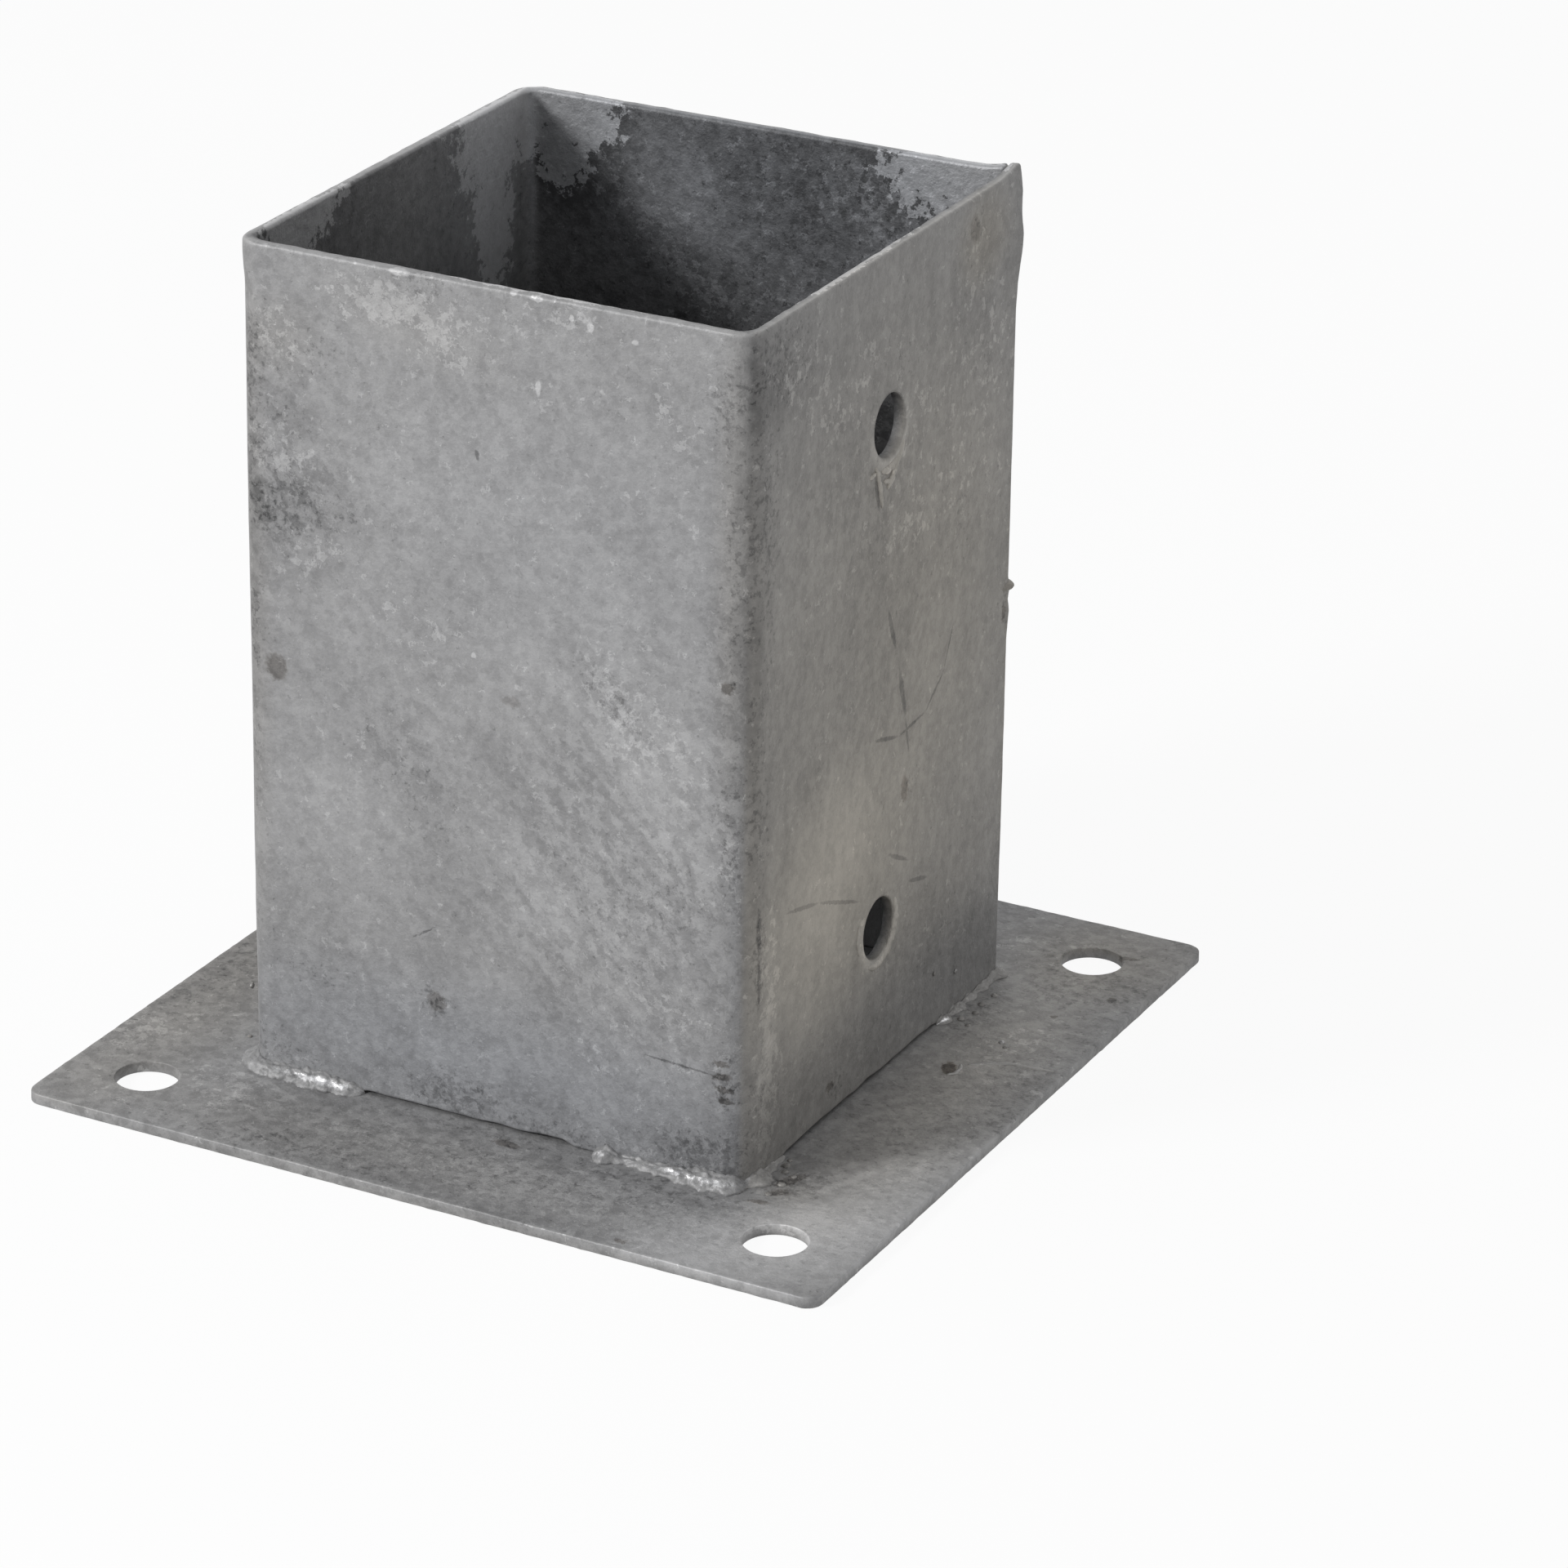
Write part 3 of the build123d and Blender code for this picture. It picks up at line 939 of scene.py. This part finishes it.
def paint_sleeve(piece):
    """Stores the patches, the painted shade of the inner face, which is less dark low down, and the rubbed
    rim, whose crest also carries a painted highlight.
    """
    paint(piece, SLEEVE_PATCHES, hole_shade_and_bruise)
    points = points_of(piece)
    sheet = SHEET / MM
    depth = from_outline(points, half)
    height = points[:, 2]
    rim = np.clip((height - (rim_z / MM - 0.9)) / 0.7, 0, 1)
    crest = np.clip(1.6 - 1.6 * np.abs(depth - 0.5 * sheet), 0, 1)
    inside_shade_by_height = 1 - 0.5 * np.clip((90 - height) / 50, 0, 1)
    # Painted shade: the inner face of the sleeve is painted darker, less strongly low down.
    store(piece, "inside", inside_shade_by_height * np.clip((depth - 0.5 * sheet) / (0.4 * sheet), 0, 1))
    # The rim's crest is painted lighter: rubbed zinc, and a painted highlight where light catches the rounded
    # rim.
    store(piece, "edge", rim * crest)


def paint_plate(piece):
    """Stores the patches and the rubbed upper edge, which is painted lighter as wear and as a painted
    highlight.
    """
    paint(piece, PLATE_PATCHES)
    points = points_of(piece)
    top = np.clip((points[:, 2] - 1.4) / 0.4, 0, 1)
    # The plate's upper edge is painted lighter: rubbed zinc and a painted highlight.
    store(piece, "edge", 0.25 * np.clip(1 - from_outline(points, plate_half) / 1.1, 0, 1) * top)


paint_sleeve(sleeve)
paint_plate(plate)


# Materials

class Nodes:
    """Short ways to add and join the nodes of one tree."""

    def __init__(self, tree):
        self.tree = tree

    def add(self, kind, *inputs, **settings):
        node = self.tree.nodes.new(kind)
        for key, value in settings.items():
            setattr(node, key, value)
        for socket, value in zip(node.inputs, inputs):
            self.join(value, socket)
        return node

    def join(self, value, socket):
        if value is None:
            return
        if isinstance(value, bpy.types.NodeSocket):
            self.tree.links.new(value, socket)
        else:
            socket.default_value = value

    def math(self, operation, a, b=None):
        return self.add("ShaderNodeMath", a, b, operation=operation).outputs[0]

    def times(self, a, b):
        return self.math("MULTIPLY", a, b)

    def add_up(self, *values):
        return functools.reduce(lambda a, b: self.math("ADD", a, b), values)

    def largest(self, values):
        return functools.reduce(lambda a, b: self.math("MAXIMUM", a, b), values)

    def vector(self, operation, a, b=None, c=None):
        return self.add("ShaderNodeVectorMath", a, b, c, operation=operation).outputs["Vector"]

    def step(self, value, low, high, to_low=0.0, to_high=1.0):
        """A smooth step from to_low at low to to_high at high."""
        rows = value, low, high, to_low, to_high
        return self.add("ShaderNodeMapRange", *rows, interpolation_type="SMOOTHSTEP").outputs[0]

    def layer(self, name):
        return self.add("ShaderNodeAttribute", attribute_name=name).outputs["Fac"]

    def ragged_layer(self, name, amount, rough, low, high):
        """Where the layer and a noise add up to more than low, and fully so from high on."""
        return self.step(self.add_up(rough, self.times(self.layer(name), amount)), low, high)

    def noise(self, place, scale, detail, roughness, output="Fac"):
        node = self.add("ShaderNodeTexNoise")
        rows = {"Vector": place, "Scale": scale, "Detail": detail, "Roughness": roughness}
        for name, value in rows.items():
            self.join(value, node.inputs[name])
        return node.outputs[output]

    def flakes(self, place, scale):
        """A number for each small crystal of the zinc."""
        node = self.add("ShaderNodeTexVoronoi", place)
        node.inputs["Scale"].default_value = scale
        shades = node.outputs["Color"]
        mean = self.add("ShaderNodeVectorMath", shades, (0.5, 0.5, 0.0), operation="DOT_PRODUCT")
        return mean.outputs["Value"]

    def mapped(self, place, location, turn, scale):
        """place as seen from a frame at location, turned by turn degrees and scaled."""
        rows = place, location, [math.radians(angle) for angle in turn], scale
        return self.add("ShaderNodeMapping", *rows, vector_type="TEXTURE").outputs[0]

    def colour(self, share, a, b, blend="MIX"):
        node = self.add("ShaderNodeMix", data_type="RGBA", blend_type=blend)
        self.join(share, node.inputs[0])
        for value, socket in ((a, node.inputs[6]), (b, node.inputs[7])):
            if isinstance(value, tuple) and len(value) == 3:
                value = value + (1.0,)
            self.join(value, socket)
        return node.outputs[2]

    def ball(self, place, centre, turn, size):
        """1 at the centre of an ellipsoid and 0 from its surface on."""
        mapped = self.mapped(place, centre, turn, size)
        return self.add("ShaderNodeTexGradient", mapped, gradient_type="SPHERICAL").outputs["Fac"]

    def spot(self, place, depth, face, u, v, half_u, half_v, turn=0):
        """A ball of the given half sizes on a face, turned about the axis across it."""
        size = on_face(face, half_u, half_v, depth)
        return self.ball(place, on_face(face, u, v), on_face(face, 0, 0, turn), size)

    def line(self, place, face, u, v, end_u, end_v, width):
        """A ball drawn out along a line on a face."""
        start, end = on_face(face, u, v), on_face(face, end_u, end_v)
        run = end - start
        turn = [math.degrees(angle) for angle in run.to_track_quat("X", "Z").to_euler()]
        return self.ball(place, (start + end) / 2, turn, (run.length * LINE_REACH, width, width))


# Fine scratches and creases in the zinc: u and v of the two ends, and the half width, in millimetres
LINE_REACH = 0.55
SLEEVE_SCRATCHES = {
    "right": (
        (0.8, 88.0, 4.6, 78.6, 0.85), (5.6, 76.0, 8.8, 64.8, 1.0), (8.6, 65.4, 10.2, 58.0, 0.5),
        (-3.4, 65.4, 6.6, 62.6, 0.55), (5.4, 62.6, 16.6, 63.6, 0.42), (15.4, 63.0, 24.0, 69.4, 0.4),
        (22.6, 68.0, 26.4, 77.0, 0.34), (-34.4, 46.6, -21.0, 43.4, 0.55), (-24.0, 44.4, -6.0, 37.4, 0.5),
        (2.6, 42.6, 11.5, 38.0, 0.55), (10.8, 34.4, 19.0, 32.0, 0.6), (-5.0, 113.4, -3.0, 105.6, 0.8),
        (-43.3, 51.5, -42.9, 42.0, 1.1), (-43.0, 42.5, -42.7, 32.0, 0.7),
    ),
    "front": (
        (27.0, 22.4, 44.0, 21.6, 0.3), (-15.5, 33.0, -10.0, 36.5, 0.25), (-2.4, 122.4, -2.0, 120.0, 0.5),
    ),
}

# Small dark spots: u and v of the centre, half sizes along them, amount and, where turned, degrees
SPOT_DEPTH = 2.2
SLEEVE_SPOTS = {
    "front": (
        (-40.6, 76.6, 2.9, 3.3, 1.0), (43.4, 90.3, 1.6, 1.4, 1.0), (43.0, 24.0, 2.2, 0.8, 1.0),
        (43.2, 21.6, 2.6, 0.9, 1.0, -6), (43.6, 19.4, 2.2, 0.8, 1.0, 4), (43.8, 17.4, 1.8, 0.8, 1.0),
        (3.9, 79.7, 2.6, 1.3, 0.4), (-10.4, 22.6, 2.4, 2.6, 0.7),
    ),
    "right": (
        (8.8, 52.2, 1.9, 3.4, 1.0, 12), (-16.6, 7.7, 2.2, 1.2, 1.0), (30.6, 144.4, 2.2, 3.6, 0.6, 18),
        (45.4, 70.8, 0.8, 2.4, 1.0),
    ),
}

# Painted highlights, small bright glints on the zinc: u and v of the centre, and half sizes along them
GLINT_DEPTH = 1.5
SLEEVE_GLINTS = {
    "front": (
        (9.0, 134.6, 0.7, 1.9), (18.4, 146.4, 0.9, 1.1), (15.0, 147.4, 0.6, 0.9), (26.4, 145.4, 0.9, 0.7),
        (-16.4, 149.7, 2.6, 0.9), (4.4, 149.8, 1.0, 0.8), (8.8, 149.6, 1.8, 0.7), (-3.0, 86.4, 0.7, 0.7),
    ),
}

# The plate's dark spots and pale streaks, given as the spots and the scratches are. The first spot is painted
# shade in a pit, and the third streak is painted light along the edge of the sleeve's shadow
PLATE_SPOTS = {
    "top": (
        # The first row is painted shade: a strong dark spot standing in for a pit beside a small ridge.
        (57.0, 9.4, 2.0, 3.6, 2.2, 24), (5.5, -51.9, 3.6, 1.6, 1.0, -6), (52.4, -40.4, 4.2, 1.8, 0.8, 66),
        (52.8, -45.2, 2.8, 1.7, 0.7, 35), (51.4, -49.6, 2.8, 1.0, 1.0, 10), (69.8, 47.3, 1.2, 1.8, 1.0),
        (63.7, 36.3, 0.9, 0.9, 1.0), (63.2, 63.6, 6.0, 1.1, 1.0, 12), (38.5, -72.5, 1.8, 0.9, 1.0),
    ),
}
PLATE_STREAKS = {
    "top": (
        # The third row is painted light: a pale line along the edge of the sleeve's shadow on the plate.
        (58.6, 11.4, 64.9, 16.0, 1.3), (64.0, 15.8, 73.8, 17.4, 1.2), (56.5, -46.5, 66.0, -24.3, 1.4),
        (-44.0, -51.0, -30.0, -57.0, 1.2), (-62.0, -34.0, -56.0, -30.0, 1.0),
    ),
}


# How much each mark lightens or darkens the zinc, painted shade and painted highlights included, and the
# colours that its tone runs between
INSIDE_SHADE_TONE = -0.3
GRIME_TONE = -0.17
DARK_TONE = -0.22
FLECK_TONE = 0.16
SILVER_TONE = 0.4
EDGE_WEAR_AND_HIGHLIGHT_TONE = 0.14
GLINT_TONE = 0.3
STREAK_TONE = 0.17
FLAKE_TONE = 0.02
CREASE_TONE = 0.06
DARKEST, PALEST = (0.045, 0.045, 0.046), (0.6, 0.6, 0.605)
COOL_TINT, WARM_TINT = (0.9, 0.97, 1.1), (1.1, 1.02, 0.88)
DIRT_TINT, DIRT_SHARE = (1.0, 0.84, 0.68), 0.25
WELD_HIGHLIGHT = (0.8, 0.8, 0.81)


def zinc(name, tone_base, mottle_scale, mottle_depth, spots=None, scratches=None, streaks=None, glints=None):
    """Hot-dip zinc: cloudy patina over small crystals, speckled and scratched, on any piece, with painted
    shade on the sleeve's inner face and painted highlights on rims, glints and weld ridges.
    """
    material = bpy.data.materials.new(name)
    material.use_nodes = True
    nodes = Nodes(material.node_tree)
    shader = material.node_tree.nodes["Principled BSDF"]
    here = nodes.add("ShaderNodeTexCoord").outputs["Object"]
    place = nodes.vector("MULTIPLY", here, [1 / MM] * 3)
    wobble = nodes.vector("SUBTRACT", nodes.noise(place, 1.1, 2, 0.6, output="Color"), (0.5, 0.5, 0.5))
    ragged = nodes.vector("MULTIPLY_ADD", wobble, (1.9, 1.9, 1.9), place)
    slight = nodes.vector("MULTIPLY_ADD", wobble, (0.6, 0.6, 0.6), place)

    mottle = nodes.noise(ragged, mottle_scale, 5, 0.66)
    flake = nodes.flakes(ragged, 0.85)
    crease = nodes.noise(nodes.mapped(ragged, (0, 0, 0), (0, 52, 0), (1.9, 1.0, 1.0)), 0.5, 4, 0.7)
    wrinkles = nodes.step(crease, 0.43, 0.57, -CREASE_TONE, CREASE_TONE)
    speck = nodes.noise(slight, 0.8, 3, 0.7)
    paler = nodes.noise(nodes.vector("ADD", ragged, (31.0, 17.0, 5.0)), 0.5, 3, 0.7)

    grime = nodes.ragged_layer("grime", 0.2, speck, 0.6, 0.76)
    fleck = nodes.ragged_layer("fleck", 0.17, paler, 0.635, 0.67)
    silver = nodes.ragged_layer("silver", 1.0, nodes.times(mottle, 1.8), 1.32, 1.4)
    shine = nodes.ragged_layer("shine", 1.0, nodes.times(mottle, 1.6), 1.3, 1.95)
    # The edge layer is rubbed zinc and a painted highlight on rims and edges.
    edge = nodes.layer("edge")
    tones = [
        tone_base, nodes.layer("tone"), nodes.times(wrinkles, nodes.layer("crease")),
        nodes.step(mottle, 0.38, 0.62, -mottle_depth, mottle_depth),
        nodes.step(flake, 0.0, 1.0, -FLAKE_TONE, FLAKE_TONE),
        # The inside layer is painted shade on the sleeve's inner face.
        nodes.times(nodes.layer("inside"), INSIDE_SHADE_TONE), nodes.times(grime, GRIME_TONE),
        nodes.times(fleck, FLECK_TONE), nodes.times(silver, SILVER_TONE), nodes.times(edge, EDGE_WEAR_AND_HIGHLIGHT_TONE),
    ]

    dark = []
    for face, u, v, half_u, half_v, amount, *turn in by_face(spots):
        spot = nodes.spot(ragged, SPOT_DEPTH, face, u, v, half_u, half_v, *turn)
        dark.append(nodes.step(spot, 0.12, 0.5, 0.0, amount))
    dirt = nodes.times(nodes.largest(dark), DIRT_SHARE) if dark else 0.0
    dark += [nodes.step(nodes.line(slight, *row), 0.08, 0.45) for row in by_face(scratches)]
    # The glints are painted highlights.
    bright = [nodes.step(nodes.spot(slight, GLINT_DEPTH, *row), 0.15, 0.5) for row in by_face(glints)]
    pale = [nodes.step(nodes.line(ragged, *row), 0.0, 0.8) for row in by_face(streaks)]
    for marks, amount in ((dark, DARK_TONE), (bright, GLINT_TONE), (pale, STREAK_TONE)):
        if marks:
            tones.append(nodes.times(nodes.largest(marks), amount))

    colour = nodes.colour(nodes.add_up(*tones), DARKEST, PALEST)
    warmth = nodes.step(nodes.layer("warmth"), -1.0, 1.0)
    colour = nodes.colour(1.0, colour, nodes.colour(warmth, COOL_TINT, WARM_TINT), "MULTIPLY")
    colour = nodes.colour(dirt, colour, nodes.colour(1.0, colour, DIRT_TINT, "MULTIPLY"))
    # Shine paints the colour toward white as a painted highlight on welds and crumbs; below, it also makes
    # the zinc more metallic and glossy.
    nodes.join(nodes.colour(shine, colour, WELD_HIGHLIGHT), shader.inputs["Base Color"])

    bare = nodes.largest([shine, nodes.times(silver, 0.2), nodes.times(edge, 0.4), nodes.times(fleck, 0.3)])
    nodes.join(nodes.step(bare, 0.0, 1.0, 0.25, 0.9), shader.inputs["Metallic"])
    nodes.join(nodes.step(bare, 0.0, 1.0, 0.56, 0.3), shader.inputs["Roughness"])
    bump = nodes.add("ShaderNodeBump")
    bump.inputs["Strength"].default_value = 0.6
    bump.inputs["Distance"].default_value = MM
    nodes.join(nodes.times(nodes.noise(place, 0.55, 4, 0.68), 0.4), bump.inputs["Height"])
    nodes.join(bump.outputs["Normal"], shader.inputs["Normal"])
    return material


def give(piece, material, slot, *nodes):
    """Finishes a piece with its material and smooth faces, hangs it under the root body, and hides the CAD
    nodes that it stands for.
    """
    piece.data.materials.clear()
    piece.data.materials.append(material)
    piece.data.polygons.foreach_set("use_smooth", [True] * len(piece.data.polygons))
    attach(piece, "root")
    if nodes:
        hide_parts(*nodes)


sleeve_zinc = zinc(
    "sleeve_zinc", 0.41, 0.42, 0.04, spots=SLEEVE_SPOTS, scratches=SLEEVE_SCRATCHES, glints=SLEEVE_GLINTS
)
plate_zinc = zinc("plate_zinc", 0.37, 0.42, 0.07, spots=PLATE_SPOTS, streaks=PLATE_STREAKS)
weld_zinc = zinc("weld_zinc", 0.38, 0.7, 0.06)
give(sleeve, sleeve_zinc, "sleeve_zinc", "post_sleeve")
give(plate, plate_zinc, "plate_zinc", "base_plate")
for piece, node in zip(foot_welds + seam_welds, [*FOOT_WELDS, *SEAM_WELDS]):
    give(piece, weld_zinc, "weld_zinc", node)
give(crumbs, weld_zinc, "weld_zinc")
give(ridges, weld_zinc, "weld_zinc")


# Stage, light and camera

def camera_sees(nodes, seen, other):
    """seen for camera, glossy and transmission rays, and other for the rest."""
    rays = nodes.add("ShaderNodeLightPath").outputs
    either = nodes.largest([rays["Is Camera Ray"], rays["Is Glossy Ray"], rays["Is Transmission Ray"]])
    return nodes.add("ShaderNodeMixShader", either, other, seen).outputs[0]


WHITE = (1, 1, 1, 1)
FLOOR_HALF = 3.0
FLOOR_GREY = (0.86, 0.86, 0.86, 1)
FLOOR_GLOW = 0.93
FILL_COLOUR, FILL_STRENGTH = (0.97, 0.98, 1.0, 1), 0.46


def make_floor():
    corners = ((-1, -1, 0), (1, -1, 0), (1, 1, 0), (-1, 1, 0))
    floor = make_object("floor", [Vector(corner) * FLOOR_HALF for corner in corners], [(0, 1, 2, 3)])
    floor.location.z = plate_low.z - 0.1 * MM
    material = bpy.data.materials.new("floor_white")
    material.use_nodes = True
    nodes = Nodes(material.node_tree)
    material.node_tree.nodes.remove(material.node_tree.nodes["Principled BSDF"])
    matt = nodes.add("ShaderNodeBsdfDiffuse", FLOOR_GREY).outputs[0]
    lit = nodes.add("ShaderNodeEmission", WHITE, 1.0).outputs[0]
    shown = nodes.add("ShaderNodeMixShader", FLOOR_GLOW, matt, lit).outputs[0]
    output = material.node_tree.nodes["Material Output"]
    nodes.join(camera_sees(nodes, shown, matt), output.inputs["Surface"])
    floor.data.materials.append(material)


def make_world():
    world = bpy.data.worlds.new("studio")
    bpy.context.scene.world = world
    world.use_nodes = True
    nodes = Nodes(world.node_tree)
    white = world.node_tree.nodes["Background"]
    white.inputs["Color"].default_value = WHITE
    white.inputs["Strength"].default_value = 1.0
    fill = nodes.add("ShaderNodeBackground", FILL_COLOUR, FILL_STRENGTH).outputs[0]
    output = world.node_tree.nodes["World Output"]
    nodes.join(camera_sees(nodes, white.outputs[0], fill), output.inputs["Surface"])


def make_lamp(name, towards, distance, size, power):
    """An area lamp that shines at the middle of the object from the given direction."""
    data = bpy.data.lights.new(name, "AREA")
    data.shape = "DISK"
    data.size = size
    data.energy = power
    lamp = bpy.data.objects.new(name, data)
    bpy.context.scene.collection.objects.link(lamp)
    towards = Vector(towards).normalized()
    lamp.location = Vector((0, 0, rim_z / 2)) + towards * distance
    lamp.rotation_euler = towards.to_track_quat("Z", "Y").to_euler()


# The camera stands where the photo was taken from: its place in millimetres, its direction and roll
# in degrees, its focal length and principal point in pixels of a square frame
CAMERA_PLACE = (476.46, -869.31, 484.76)
CAMERA_AZIMUTH = 28.85
CAMERA_ELEVATION = 23.137
CAMERA_ROLL = 0.305
CAMERA_FOCAL = 7808.3
CAMERA_CENTRE = (757.0, 860.0)
FRAME_SIDE = 1920.0


def make_camera():
    data = bpy.data.cameras.new("camera")
    camera = bpy.data.objects.new("camera", data)
    bpy.context.scene.collection.objects.link(camera)
    turn = Matrix.Identity(4)
    for degrees, axis in ((CAMERA_AZIMUTH, "Z"), (90 - CAMERA_ELEVATION, "X"), (CAMERA_ROLL, "Z")):
        turn @= Matrix.Rotation(math.radians(degrees), 4, axis)
    camera.matrix_world = Matrix.Translation(Vector(CAMERA_PLACE) * MM) @ turn
    data.sensor_width = 36.0
    data.lens = data.sensor_width * CAMERA_FOCAL / FRAME_SIDE
    data.shift_x = (FRAME_SIDE / 2 - CAMERA_CENTRE[0]) / FRAME_SIDE
    data.shift_y = (CAMERA_CENTRE[1] - FRAME_SIDE / 2) / FRAME_SIDE
    bpy.context.scene.camera = camera


make_floor()
make_world()
make_lamp("key", (-0.525, -0.72, 0.453), 1.2, 0.3, 10.2)
make_camera()
bpy.context.scene.view_settings.view_transform = "Standard"
